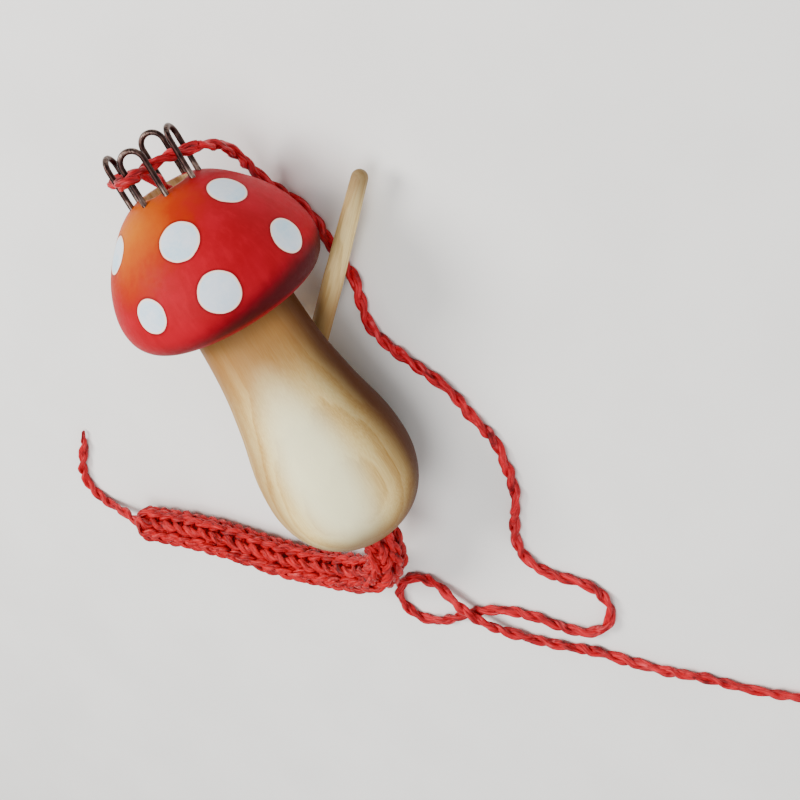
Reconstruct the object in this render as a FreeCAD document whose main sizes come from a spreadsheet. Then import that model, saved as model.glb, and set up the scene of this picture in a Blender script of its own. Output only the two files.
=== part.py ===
import FreeCAD, Part
import math
import os

# An i-cord maker in the shape of a toadstool: a turned cap and stem with a
# through bore, four wire staples round the bore, a wooden stylus, and the yarn
# and knitted cord that are on it. It lies on its side. Millimetres, +Z up,
# +Y along the toadstool towards its crown. The origin is under the middle of
# the wooden and wire pieces, on the surface that they lie on.

V = FreeCAD.Vector
doc = FreeCAD.newDocument("icord_maker")

# ------------------------------------------------------------ driving sizes
SIZES = [
    ("cap_radius", 19.0),
    ("cap_height", 24.4),
    ("crown_radius", 5.6),
    ("underside_radius", 12.6),
    ("bore_radius", 4.5),
    ("tenon_radius", 7.5),
    ("tenon_length", 11.0),
    ("stem_length", 50.37),
    ("stem_neck_radius", 9.6),
    ("stem_bulge_radius", 14.65),
    ("ring_radius", 6.1),
    ("wire_radius", 0.5),
    ("staple_width", 4.2),
    ("staple_top", 32.9),
    ("leg_bottom", 17.5),
    ("stylus_radius", 1.95),
    ("stylus_tip_radius", 1.5),
    ("stylus_even_length", 36.0),
    ("stylus_length", 62.0),
    ("yarn_radius", 1.0),
    ("cord_radius", 4.2),
    ("cord_top", 20.0),
    ("cord_bottom", 49.4),
    ("coil_radius", 11.0),
    ("coil_bundle_radius", 4.2),
    ("tie_radius", 0.8),
    ("view_azimuth", 48.0),
    ("ring_turn", 22.0),
    ("origin_x", 4.23),
    ("origin_y", -8.415),
]
sheet = doc.addObject("Spreadsheet::Sheet", "sizes")
for row, (name, value) in enumerate(SIZES, start=1):
    sheet.set("A%d" % row, name)
    sheet.set("B%d" % row, str(value))
    sheet.setAlias("B%d" % row, name)
doc.recompute()


def size(name):
    return float(sheet.get(name))


BORE, CAP_H, STEM_L = size("bore_radius"), size("cap_height"), size("stem_length")


# ------------------------------------------------------------ turned outlines
def curve_through(points):
    c = Part.BSplineCurve()
    c.interpolate([V(r, z, 0) for r, z in points])
    return c


def plane_of(body, role):
    return [f for f in body.Origin.OriginFeatures if f.Role == role][0]


def outline(body, name, first, spline, last):
    """A closed half outline in the body's XZ plane: straight edges, then the
    curved outside, then straight edges back to the start."""
    sk = body.newObject("Sketcher::SketchObject", name)
    sk.AttachmentSupport = [(plane_of(body, "XZ_Plane"), "")]
    sk.MapMode = "FlatFace"
    points = [V(r, z, 0) for r, z in first]
    for a, b in zip(points, points[1:]):
        sk.addGeometry(Part.LineSegment(a, b), False)
    sk.addGeometry(curve_through(spline), False)
    points = [V(r, z, 0) for r, z in last]
    for a, b in zip(points, points[1:]):
        sk.addGeometry(Part.LineSegment(a, b), False)
    return sk


# Cap: seen in half section, crown at the top, underside at z = 0. The socket
# for the stem's tenon is bored from below.
scale_r, scale_z = size("cap_radius") / 19.0, CAP_H / 24.4
cap_points = [
    (size("crown_radius"), CAP_H),
    (8.3, 23.25),
    (10.5, 21.7),
    (12.4, 19.95),
    (14.65, 17.5),
    (16.6, 14.7),
    (18.05, 11.6),
    (18.8, 9.0),
    (19.0, 6.7),
    (18.5, 4.1),
    (17.0, 1.95),
    (14.8, 0.6),
    (size("underside_radius"), 0.0),
]
cap_points = [cap_points[0]] + [
    (r * scale_r, z * scale_z) for r, z in cap_points[1:-1]
] + [cap_points[-1]]
cap = doc.addObject("PartDesign::Body", "cap")
socket_r, socket_z = size("tenon_radius"), size("tenon_length")
sk = outline(
    cap,
    "cap_outline",
    [(BORE, CAP_H), cap_points[0]],
    cap_points,
    [cap_points[-1], (socket_r, 0), (socket_r, socket_z), (BORE, socket_z), (BORE, CAP_H)],
)
turned = cap.newObject("PartDesign::Revolution", "cap_turning")
turned.Profile = sk
turned.ReferenceAxis = (sk, ["V_Axis"])
turned.Angle = 360
doc.recompute()

# Eight blind holes in the crown for the staples' legs.
legs = cap.newObject("Sketcher::SketchObject", "leg_holes")
legs.AttachmentSupport = [(plane_of(cap, "XY_Plane"), "")]
legs.MapMode = "FlatFace"
legs.AttachmentOffset = FreeCAD.Placement(V(0, 0, CAP_H), FreeCAD.Rotation())
view = math.radians(size("view_azimuth"))
ring, half = size("ring_radius"), size("staple_width") / 2
# In the toadstool's own frame x is the row's +X, z its axis. "front" faces the
# viewer of the threading, "right" is to the viewer's right.
FRONT = V(math.cos(view), -math.sin(view), 0)
RIGHT = V(math.sin(view), math.cos(view), 0)
# The ring of staples is turned a little to the viewer's left of those.
ring_view = math.radians(size("view_azimuth") + size("ring_turn"))
OUT = V(math.cos(ring_view), -math.sin(ring_view), 0)
ACROSS = V(math.sin(ring_view), math.cos(ring_view), 0)
holes = [OUT * ring + ACROSS * half, OUT * ring - ACROSS * half]
for i, p in enumerate(holes):
    legs.addGeometry(Part.Circle(V(p.x, p.y, 0), V(0, 0, 1), size("wire_radius")), False)
doc.recompute()
drilled = cap.newObject("PartDesign::Pocket", "leg_drilling")
drilled.Profile = legs
drilled.setExpression("Length", "sizes.cap_height - sizes.leg_bottom")
doc.recompute()
four = cap.newObject("PartDesign::PolarPattern", "four_staples")
four.Originals = [drilled]
four.Axis = (legs, ["N_Axis"])
four.Angle = 360
four.Occurrences = 4
cap.Tip = four
doc.recompute()

# Stem: shoulder at z = 0, rounded foot below, tenon above. Bored right through.
k = STEM_L / 50.37
w = size("stem_bulge_radius") / 14.65
stem_points = [
    (size("stem_neck_radius"), 0.0),
    (9.85, -5.75),
    (10.15, -9.7),
    (10.65, -13.8),
    (11.35, -17.7),
    (12.2, -21.8),
    (13.2, -25.7),
    (14.1, -29.7),
    (14.55, -33.4),
    (14.65, -36.8),
    (14.2, -40.2),
    (12.9, -43.9),
    (10.9, -46.9),
    (8.2, -49.1),
    (6.6, -49.9),
    (BORE + 0.7, -50.37),
]
stem_points = [stem_points[0]] + [(r * w, z * k) for r, z in stem_points[1:-1]] + [
    (BORE + 0.7, -STEM_L)
]
stem = doc.addObject("PartDesign::Body", "stem")
gap = 0.3  # glue gap at the tenon's end
sk2 = outline(
    stem,
    "stem_outline",
    [(BORE, socket_z - gap), (socket_r, socket_z - gap), (socket_r, 0), stem_points[0]],
    stem_points,
    [(BORE + 0.7, -STEM_L), (BORE, -STEM_L + 0.5), (BORE, socket_z - gap)],
)
turned2 = stem.newObject("PartDesign::Revolution", "stem_turning")
turned2.Profile = sk2
turned2.ReferenceAxis = (sk2, ["V_Axis"])
turned2.Angle = 360
doc.recompute()


# ------------------------------------------------------------ how it lies
# The toadstool lies on the widest circle of its cap and the bulge of its stem.
# lean is how far its crown end is raised, lift the height of its axis at the
# cap's underside.
def samples(points, count=400):
    c = curve_through(points)
    a, b = c.FirstParameter, c.LastParameter
    return [c.value(a + (b - a) * i / count) for i in range(count + 1)]


CAP_S, STEM_S = samples(cap_points), samples(stem_points)


def lowest(points, lean):
    return min(p.y * math.sin(lean) - p.x * math.cos(lean) for p in points)


low, high = 0.0, math.radians(15)
for _ in range(60):
    mid = (low + high) / 2
    if lowest(CAP_S, mid) < lowest(STEM_S, mid):
        low = mid
    else:
        high = mid
LEAN = (low + high) / 2
LIFT = -lowest(CAP_S, LEAN) + 0.01
print("lean %.4f deg, axis height %.4f mm" % (math.degrees(LEAN), LIFT))

ORIGIN = V(size("origin_x"), size("origin_y"), 0)
LYING = FreeCAD.Placement(
    V(0, 0, LIFT) - ORIGIN,
    FreeCAD.Rotation(V(1, 0, 0), -(90 - math.degrees(LEAN))),
)
cap.Placement = LYING
stem.Placement = LYING


def on_doll(right, front, along):
    """A point given round the toadstool's axis, in the row frame."""
    return LYING.multVec(RIGHT * right + FRONT * front + V(0, 0, along))


# ------------------------------------------------------------ staples
top = size("staple_top")


def staple(name, turn):
    """Two legs and a half-round bend of round wire, across the radius."""
    parts = []
    for side in (1, -1):
        leg = doc.addObject("Part::Cylinder", "%s_leg_%s" % (name, "a" if side > 0 else "b"))
        leg.setExpression("Radius", "sizes.wire_radius")
        leg.setExpression(
            "Height", "sizes.staple_top - sizes.staple_width / 2 - sizes.leg_bottom"
        )
        leg.Placement = FreeCAD.Placement(
            V(0, side * half, size("leg_bottom")), FreeCAD.Rotation()
        )
        parts.append(leg)
    bend = doc.addObject("Part::Torus", name + "_bend")
    bend.setExpression("Radius1", "sizes.staple_width / 2")
    bend.setExpression("Radius2", "sizes.wire_radius")
    bend.Angle3 = 180
    bend.Placement = FreeCAD.Placement(
        V(0, 0, top - half), FreeCAD.Rotation(V(0, 1, 0), V(0, 0, 1), V(1, 0, 0), "XYZ")
    )
    parts.append(bend)
    wire = doc.addObject("Part::MultiFuse", name)
    wire.Shapes = parts
    wire.Placement = LYING.multiply(
        FreeCAD.Placement(V(0, 0, 0), FreeCAD.Rotation(V(0, 0, 1), turn)).multiply(
            FreeCAD.Placement(V(ring, 0, 0), FreeCAD.Rotation())
        )
    )
    return wire


facing = -size("view_azimuth") - size("ring_turn")
STAPLES = [
    staple("staple_front", facing),
    staple("staple_right", facing + 90),
    staple("staple_back", facing + 180),
    staple("staple_left", facing + 270),
]
doc.recompute()

# ------------------------------------------------------------ stylus
# A plain stick with rounded ends, even for half its length and then tapering
# to its tip, slipped under the neck of the stem. Its raised end rests on the
# working yarn.
STYLUS_LOW = V(-15.2, -29.8, size("stylus_radius") + 0.03)
STYLUS_WAY = V(0.7033, 0.7093, 0.0545)
STYLUS_WAY.normalize()
stylus = doc.addObject("PartDesign::Body", "stylus")
butt_r, tip_r, long = size("stylus_radius"), size("stylus_tip_radius"), size("stylus_length")
sk3 = stylus.newObject("Sketcher::SketchObject", "stylus_outline")
sk3.AttachmentSupport = [(plane_of(stylus, "XZ_Plane"), "")]
sk3.MapMode = "FlatFace"
turn45 = math.sqrt(0.5)
sk3.addGeometry(
    Part.Arc(
        V(0, -butt_r, 0), V(butt_r * turn45, -butt_r * turn45, 0), V(butt_r, 0, 0)
    ),
    False,
)
far = long - butt_r - tip_r
even = size("stylus_even_length")
sk3.addGeometry(Part.LineSegment(V(butt_r, 0, 0), V(butt_r, even, 0)), False)
sk3.addGeometry(Part.LineSegment(V(butt_r, even, 0), V(tip_r, far, 0)), False)
sk3.addGeometry(
    Part.Arc(
        V(tip_r, far, 0), V(tip_r * turn45, far + tip_r * turn45, 0), V(0, far + tip_r, 0)
    ),
    False,
)
sk3.addGeometry(Part.LineSegment(V(0, far + tip_r, 0), V(0, -butt_r, 0)), False)
turned3 = stylus.newObject("PartDesign::Revolution", "stylus_turning")
turned3.Profile = sk3
turned3.ReferenceAxis = (sk3, ["V_Axis"])
turned3.Angle = 360
doc.recompute()
stylus.Placement = FreeCAD.Placement(
    STYLUS_LOW - ORIGIN, FreeCAD.Rotation(V(0, 0, 1), STYLUS_WAY)
)
doc.recompute()


# ------------------------------------------------------------ cord routes
def route(points):
    """Straight runs joined by tangent arcs, each as large as its runs allow."""
    edges, radii, at = [], [], points[0]
    for a, b, c in zip(points, points[1:], points[2:]):
        u, v = b - a, c - b
        turn = u.getAngle(v)
        reach = 0.45 * min(u.Length, v.Length)
        radii.append(reach / math.tan(turn / 2))
        start = b - V(u).normalize() * reach
        stop = b + V(v).normalize() * reach
        inward = V(v).normalize() - V(u).normalize()
        inward.normalize()
        middle = b + inward * (radii[-1] / math.cos(turn / 2) - radii[-1])
        edges.append(Part.LineSegment(at, start).toShape())
        edges.append(Part.Arc(start, middle, stop).toShape())
        at = stop
    edges.append(Part.LineSegment(at, points[-1]).toShape())
    return Part.Wire(edges), radii


def tube(name, points, radius, ends_round=False):
    """A solid of round section along a route, as one piece."""
    wire, radii = route(points)
    way = points[1] - points[0]
    section = Part.Wire([Part.Circle(points[0], way, radius).toShape()])
    solid = wire.makePipeShell([section], True, False)
    if solid.Volume < 0:
        solid.reverse()
    expected = math.pi * radius**2 * wire.Length
    print(
        "%s: %.1f mm long, volume %.4f of section times length, radii %s"
        % (name, wire.Length, solid.Volume / expected, " ".join("%.1f" % r for r in radii))
    )
    assert abs(solid.Volume / expected - 1) < 0.01, name
    if ends_round:
        solid = solid.fuse(Part.makeSphere(radius, points[-1])).removeSplitter()
    made = doc.addObject("Part::Feature", name)
    made.Shape = solid if solid.ShapeType == "Solid" else solid.Solids[0]
    return made


def moved(points):
    return [V(*p) - ORIGIN for p in points]


YARN = size("yarn_radius")

# The yarn held by the staples: out of the bore, round the far leg of the left
# staple, out between the staples, in through the front one, and out through the
# right one. (right, front, along)
THREADING = [
    (0.6, 0.3, 20.0),
    (0.6, 0.3, 24.0),
    (-0.9, -2.0, 26.9),
    (-2.6, -4.9, 28.0),
    (-4.4, -6.5, 28.4),
    (-6.4, -6.0, 28.6),
    (-7.2, -4.3, 28.7),
    (-6.6, -2.6, 28.8),
    (-4.7, -1.6, 28.8),
    (-3.7, 0.6, 28.8),
    (-4.6, 2.6, 28.8),
    (-6.1, 4.4, 28.9),
    (-5.9, 6.2, 29.0),
    (-4.6, 7.2, 29.1),
    (-2.9, 7.0, 29.1),
    (-2.0, 5.2, 29.1),
    (-0.9, 3.7, 29.0),
    (1.9, 2.6, 28.9),
    (5.6, 2.2, 28.5),
    (8.3, 2.0, 27.7),
]
threaded_points = [on_doll(*p) for p in THREADING]
threaded_yarn = tube("threaded_yarn", threaded_points, YARN)

# The working yarn: from the right staple down to the surface, beside the cap,
# under the stylus, away in small kinks, back in one loose loop that it crosses,
# and off to its coil.
WORKING = [
    (7.5, 27.2, 13.2),
    (7.1, 25.4, 9.4),
    (6.3, 22.6, 6.2),
    (5.4, 19.2, 3.7),
    (6.5, 15.3, 1.7),
    (8.8, 11.6, 1.05),
    (11.0, 8.2, 1.0),
    (11.2, 3.8, 1.0),
    (11.6, -0.6, 1.0),
    (13.1, -4.9, 1.0),
    (11.9, -9.4, 1.0),
    (10.9, -14.0, 1.0),
    (12.4, -18.7, 1.0),
    (15.4, -23.0, 1.0),
    (18.6, -27.3, 1.0),
    (21.6, -32.0, 1.0),
    (23.0, -37.8, 1.0),
    (25.5, -43.2, 1.0),
    (25.2, -49.2, 1.0),
    (24.5, -55.2, 1.0),
    (21.4, -60.6, 1.0),
    (19.3, -66.0, 1.0),
    (20.6, -71.2, 1.0),
    (25.0, -74.6, 1.0),
    (30.2, -76.8, 1.0),
    (33.2, -81.0, 1.0),
    (32.2, -86.0, 1.0),
    (27.8, -88.8, 1.0),
    (22.6, -87.6, 1.0),
    (17.8, -84.2, 1.0),
    (12.2, -81.4, 1.0),
    (6.6, -80.2, 1.0),
    (0.8, -80.6, 1.0),
    (-4.8, -81.8, 1.0),
    (-9.4, -81.2, 1.0),
    (-12.9, -78.1, 1.0),
    (-13.2, -73.4, 1.0),
    (-9.9, -70.1, 1.0),
    (-5.2, -70.3, 1.0),
    (-1.4, -73.0, 1.6),
    (1.5, -77.4, 3.2),
    (5.2, -82.2, 3.2),
    (9.6, -86.4, 1.5),
    (14.8, -89.4, 1.0),
    (20.8, -91.6, 1.0),
    (26.8, -93.6, 1.0),
    (32.6, -96.8, 1.0),
    (38.6, -99.4, 1.0),
    (45.2, -101.4, 1.0),
    (51.6, -104.4, 1.0),
    (58.4, -106.8, 1.0),
    (65.6, -108.0, 1.0),
    (72.6, -110.2, 1.0),
    (79.0, -111.3, 1.0),
    (84.4, -111.2, 1.1),
]
working_yarn = tube("working_yarn", [threaded_points[-1]] + moved(WORKING), YARN)

# The put-away length, as the outer shape of a round coil, with a tie.
COIL_AT = V(90.0, -100.2, size("coil_bundle_radius") + 0.02) - ORIGIN
yarn_coil = doc.addObject("Part::Torus", "yarn_coil")
yarn_coil.setExpression("Radius1", "sizes.coil_radius")
yarn_coil.setExpression("Radius2", "sizes.coil_bundle_radius")
yarn_coil.Placement = FreeCAD.Placement(COIL_AT, FreeCAD.Rotation())
doc.recompute()
tie_ring = doc.addObject("Part::Torus", "tie_ring")
tie_ring.setExpression("Radius1", "sizes.coil_bundle_radius + sizes.tie_radius * 0.4")
tie_ring.setExpression("Radius2", "sizes.tie_radius")
tie_ring.Placement = FreeCAD.Placement(
    COIL_AT + V(0, size("coil_radius"), 0), FreeCAD.Rotation(V(0, 1, 0), 90)
)
under = doc.addObject("Part::Box", "surface_below")
under.Length, under.Width, under.Height = 40, 40, 10
under.Placement = FreeCAD.Placement(
    V(COIL_AT.x - 20, COIL_AT.y - 20 + size("coil_radius"), -10 + 0.01), FreeCAD.Rotation()
)
inside = doc.addObject("Part::Torus", "coil_inside")
inside.setExpression("Radius1", "sizes.coil_radius")
inside.setExpression("Radius2", "sizes.coil_bundle_radius")
inside.Placement = yarn_coil.Placement
taken = doc.addObject("Part::MultiFuse", "tie_taken")
taken.Shapes = [under, inside]
coil_tie = doc.addObject("Part::Cut", "coil_tie")
coil_tie.Base = tie_ring
coil_tie.Tool = taken
doc.recompute()

# The knitted cord: straight in the bore, then out of the foot, down to the
# surface and away in one slack bend to its closed end.
CORD = size("cord_radius")
in_bore = doc.addObject("Part::Cylinder", "cord_in_bore")
in_bore.setExpression("Radius", "sizes.cord_radius")
in_bore.setExpression("Height", "sizes.cord_top + sizes.cord_bottom")
in_bore.Placement = LYING.multiply(
    FreeCAD.Placement(V(0, 0, -size("cord_bottom")), FreeCAD.Rotation())
)
leaving = LYING.multVec(V(0, 0, -size("cord_bottom")))
straight = LYING.multVec(V(0, 0, -size("cord_bottom") - 5.2))
KNITTED = [
    (-3.2, -60.0, 11.0),
    (-9.6, -63.7, 8.2),
    (-17.4, -64.2, 5.6),
    (-25.6, -62.6, 4.25),
    (-33.6, -59.6, 4.25),
    (-41.4, -55.2, 4.25),
    (-49.8, -50.4, 4.25),
    (-58.8, -46.6, 4.25),
    (-68.0, -43.4, 4.25),
]
knitted_points = [leaving, straight] + moved(KNITTED)
knitted_cord = tube("knitted_cord", knitted_points, CORD, ends_round=True)

# The starting tail of the yarn, out of the cord's closed end.
TAIL = [
    (-71.4, -42.2, 4.0),
    (-75.4, -40.2, 2.2),
    (-80.2, -37.4, 1.05),
    (-83.0, -32.6, 1.0),
    (-81.6, -27.2, 1.0),
    (-77.4, -23.6, 1.0),
    (-74.6, -19.2, 1.0),
]
starting_tail = tube("starting_tail", moved(TAIL), YARN)
doc.recompute()

# ------------------------------------------------------------ check and write
NODES = {
    "cap": cap,
    "stem": stem,
    "staple_front": STAPLES[0],
    "staple_right": STAPLES[1],
    "staple_back": STAPLES[2],
    "staple_left": STAPLES[3],
    "stylus": stylus,
    "threaded_yarn": threaded_yarn,
    "working_yarn": working_yarn,
    "yarn_coil": yarn_coil,
    "coil_tie": coil_tie,
    "cord_in_bore": in_bore,
    "knitted_cord": knitted_cord,
    "starting_tail": starting_tail,
}
for obj in doc.Objects:
    bad = [s for s in obj.State if s in ("Invalid", "Error")]
    if bad:
        raise RuntimeError("%s is %s" % (obj.Name, bad))
for name, obj in NODES.items():
    obj.Label = name
    if obj.Shape.isNull() or not obj.Shape.isValid() or len(obj.Shape.Solids) != 1:
        raise RuntimeError("%s has no single valid solid" % name)

os.makedirs("parts", exist_ok=True)
for name, obj in NODES.items():
    obj.Shape.exportStep("parts/%s.step" % name)

box = FreeCAD.BoundBox()
rigid = ["cap", "stem", "stylus", "threaded_yarn", "cord_in_bore"] + [s.Label for s in STAPLES]
for name in rigid:
    box.add(NODES[name].Shape.optimalBoundingBox(True, False))
print("wood and wire: x %.3f %.3f y %.3f %.3f z %.3f %.3f" % (
    box.XMin, box.XMax, box.YMin, box.YMax, box.ZMin, box.ZMax))
for name, obj in NODES.items():
    b = obj.Shape.optimalBoundingBox(True, False)
    print("%-14s volume %9.1f  z %.3f to %.3f" % (name, obj.Shape.Volume, b.ZMin, b.ZMax))
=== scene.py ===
import math

import bpy
import numpy as np
from mathutils import Euler, Matrix, Vector


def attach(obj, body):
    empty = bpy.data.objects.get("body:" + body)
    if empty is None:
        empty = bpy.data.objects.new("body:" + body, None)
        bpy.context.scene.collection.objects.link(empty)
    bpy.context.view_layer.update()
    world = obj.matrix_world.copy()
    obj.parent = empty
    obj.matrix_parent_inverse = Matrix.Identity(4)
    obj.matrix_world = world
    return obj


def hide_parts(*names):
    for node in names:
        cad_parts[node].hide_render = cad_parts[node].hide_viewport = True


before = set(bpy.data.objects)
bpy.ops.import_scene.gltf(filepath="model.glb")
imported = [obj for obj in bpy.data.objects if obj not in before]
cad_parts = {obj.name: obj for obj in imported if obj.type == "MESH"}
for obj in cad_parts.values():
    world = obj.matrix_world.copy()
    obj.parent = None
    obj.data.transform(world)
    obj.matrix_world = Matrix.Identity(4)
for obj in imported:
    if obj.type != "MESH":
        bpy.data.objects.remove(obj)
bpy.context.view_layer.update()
scene = bpy.context.scene
rng = np.random.default_rng(11)
MM = 0.001

# ------------------------------------------------------------------ camera
camera_data = bpy.data.cameras.new("camera")
camera_data.sensor_width = 36
camera_data.lens = 50.8
camera_data.clip_start, camera_data.clip_end = 0.01, 10
camera = bpy.data.objects.new("camera", camera_data)
scene.collection.objects.link(camera)
right = Vector((0.80350, -0.42369, -0.41817)).normalized()
ahead = Vector((-0.55998, -0.29958, -0.77244)).normalized()
up = right.cross(ahead).normalized()
camera.matrix_world = Matrix(
    (
        (right.x, up.x, -ahead.x, 0.12630),
        (right.y, up.y, -ahead.y, 0.04224),
        (right.z, up.z, -ahead.z, 0.16737),
        (0, 0, 0, 1),
    )
)
scene.camera = camera

# ------------------------------------------------------------------ routes
# The same route points as the CAD, in metres.
THREADED = [
    (-0.00358, 0.02833, 0.02009),
    (-0.00358, 0.03231, 0.02048),
    (-0.00624, 0.03527, 0.02007),
    (-0.00944, 0.03647, 0.01917),
    (-0.01185, 0.03686, 0.01922),
    (-0.01300, 0.03689, 0.02094),
    (-0.01246, 0.03681, 0.02274),
    (-0.01087, 0.03683, 0.02361),
    (-0.00879, 0.03688, 0.02308),
    (-0.00658, 0.03678, 0.02405),
    (-0.00591, 0.03657, 0.02612),
    (-0.00582, 0.03644, 0.02846),
    (-0.00447, 0.03642, 0.02967),
    (-0.00283, 0.03653, 0.02955),
    (-0.00170, 0.03666, 0.02828),
    (-0.00224, 0.03685, 0.02634),
    (-0.00242, 0.03694, 0.02449),
    (-0.00108, 0.03711, 0.02181),
    (0.00140, 0.03698, 0.01901),
    (0.00328, 0.03638, 0.01698),
]
WORKING = [
    (0.00328, 0.03638, 0.01698),
    (0.00327, 0.03561, 0.01320),
    (0.00287, 0.03381, 0.00940),
    (0.00207, 0.03102, 0.00620),
    (0.00117, 0.02761, 0.00370),
    (0.00227, 0.02371, 0.00170),
    (0.00457, 0.02002, 0.00105),
    (0.00677, 0.01661, 0.00100),
    (0.00697, 0.01222, 0.00100),
    (0.00737, 0.00781, 0.00100),
    (0.00887, 0.00351, 0.00100),
    (0.00767, -0.00099, 0.00100),
    (0.00667, -0.00559, 0.00100),
    (0.00817, -0.01029, 0.00100),
    (0.01117, -0.01459, 0.00100),
    (0.01437, -0.01889, 0.00100),
    (0.01737, -0.02359, 0.00100),
    (0.01877, -0.02938, 0.00100),
    (0.02127, -0.03479, 0.00100),
    (0.02097, -0.04079, 0.00100),
    (0.02027, -0.04679, 0.00100),
    (0.01717, -0.05219, 0.00100),
    (0.01507, -0.05759, 0.00100),
    (0.01637, -0.06279, 0.00100),
    (0.02077, -0.06619, 0.00100),
    (0.02597, -0.06838, 0.00100),
    (0.02897, -0.07259, 0.00100),
    (0.02797, -0.07759, 0.00100),
    (0.02357, -0.08038, 0.00100),
    (0.01837, -0.07919, 0.00100),
    (0.01357, -0.07578, 0.00100),
    (0.00797, -0.07299, 0.00100),
    (0.00237, -0.07179, 0.00100),
    (-0.00343, -0.07218, 0.00100),
    (-0.00903, -0.07338, 0.00100),
    (-0.01363, -0.07279, 0.00100),
    (-0.01713, -0.06968, 0.00100),
    (-0.01743, -0.06499, 0.00100),
    (-0.01413, -0.06168, 0.00100),
    (-0.00943, -0.06188, 0.00100),
    (-0.00563, -0.06459, 0.00160),
    (-0.00273, -0.06899, 0.00320),
    (0.00097, -0.07379, 0.00320),
    (0.00537, -0.07799, 0.00150),
    (0.01057, -0.08099, 0.00100),
    (0.01657, -0.08319, 0.00100),
    (0.02257, -0.08518, 0.00100),
    (0.02837, -0.08838, 0.00100),
    (0.03437, -0.09099, 0.00100),
    (0.04097, -0.09299, 0.00100),
    (0.04737, -0.09599, 0.00100),
    (0.05417, -0.09838, 0.00100),
    (0.06137, -0.09959, 0.00100),
    (0.06837, -0.10179, 0.00100),
    (0.07477, -0.10288, 0.00100),
    (0.08017, -0.10279, 0.00110),
]
KNITTED = [
    (-0.00423, -0.04074, 0.01337),
    (-0.00423, -0.04591, 0.01285),
    (-0.00743, -0.05158, 0.01100),
    (-0.01383, -0.05529, 0.00820),
    (-0.02163, -0.05579, 0.00560),
    (-0.02983, -0.05419, 0.00425),
    (-0.03783, -0.05119, 0.00425),
    (-0.04563, -0.04679, 0.00425),
    (-0.05403, -0.04199, 0.00425),
    (-0.06303, -0.03819, 0.00425),
    (-0.07223, -0.03499, 0.00425),
]
TAIL = [
    (-0.07563, -0.03379, 0.00400),
    (-0.07963, -0.03179, 0.00220),
    (-0.08443, -0.02899, 0.00105),
    (-0.08723, -0.02419, 0.00100),
    (-0.08583, -0.01878, 0.00100),
    (-0.08163, -0.01519, 0.00100),
    (-0.07883, -0.01078, 0.00100),
]
COIL_AT = (0.09000 - 0.00423, -0.10020 + 0.008415)  # middle of the put-away coil
# The toadstool's own frame: its axis, from the foot to the crown, and the
# middle of the cap's underside.
LEAN = math.radians(5.7017)
AXIS = Vector((0, math.cos(LEAN), math.sin(LEAN)))
OVER = Vector((0, -math.sin(LEAN), math.cos(LEAN)))
UNDERSIDE = Vector((-0.00423, 0.008415, 0.0182768))
VIEW = math.radians(48)


def to_row(p):
    """A point of the toadstool's frame (x, y, z along its axis) in the row frame."""
    return UNDERSIDE + Vector((p[0], 0, 0)) - OVER * p[1] + AXIS * p[2]


# ------------------------------------------------------------------ lines
def smooth_line(name, points):
    """The centreline of a cord: points read from the NURBS spline of its route."""
    data = bpy.data.curves.new(name + "_route", "CURVE")
    data.dimensions = "3D"
    spline = data.splines.new("NURBS")
    spline.points.add(len(points) - 1)
    for knot, at in zip(spline.points, points):
        knot.co = (*at, 1)
    spline.order_u = 3
    spline.use_endpoint_u = True
    spline.resolution_u = 16
    data.resolution_u = 16
    holder = bpy.data.objects.new(name + "_route", data)
    scene.collection.objects.link(holder)
    mesh = bpy.data.meshes.new_from_object(holder)
    line = np.array([v.co for v in mesh.vertices], float)
    bpy.data.objects.remove(holder)
    bpy.data.curves.remove(data)
    bpy.data.meshes.remove(mesh)
    return line


def even(line, step):
    """The same line with points an even step apart, and how far along each is."""
    line = np.asarray(line, float)
    gaps = np.linalg.norm(np.diff(line, axis=0), axis=1)
    keep = np.concatenate([[True], gaps > 1e-9])
    line = line[keep]
    far = np.concatenate([[0], np.cumsum(np.linalg.norm(np.diff(line, axis=0), axis=1))])
    count = max(2, int(round(far[-1] / step)) + 1)
    at = np.linspace(0, far[-1], count)
    return np.stack([np.interp(at, far, line[:, i]) for i in range(3)], 1), at


def frames(line):
    """Tangent, side and top vectors along a line, turning as little as possible."""
    line = np.asarray(line, float)
    t = np.gradient(line, axis=0)
    t /= np.linalg.norm(t, axis=1)[:, None]
    n = np.zeros_like(t)
    first = np.array([0, 0, 1.0]) if abs(t[0][2]) < 0.9 else np.array([1.0, 0, 0])
    n[0] = first - t[0] * (first @ t[0])
    n[0] /= np.linalg.norm(n[0])
    for i in range(1, len(line)):
        v = n[i - 1] - t[i] * (n[i - 1] @ t[i])
        n[i] = v / np.linalg.norm(v)
    return t, n, np.cross(t, n)


def make_object(name, verts, faces, material, uvs=None, smooth=True, values=None):
    mesh = bpy.data.meshes.new(name)
    mesh.from_pydata([tuple(v) for v in verts], [], faces)
    if uvs is not None:
        layer = mesh.uv_layers.new(name="along")
        loops = np.empty(len(mesh.loops), np.int32)
        mesh.loops.foreach_get("vertex_index", loops)
        layer.uv.foreach_set("vector", np.asarray(uvs, np.float32)[loops].ravel())
    for label, numbers in (values or {}).items():
        attribute = mesh.attributes.new(label, "FLOAT", "POINT")
        attribute.data.foreach_set("value", np.asarray(numbers, np.float32))
    mesh.polygons.foreach_set("use_smooth", [smooth] * len(mesh.polygons))
    mesh.materials.append(material)
    made = bpy.data.objects.new(name, mesh)
    scene.collection.objects.link(made)
    return made


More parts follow.
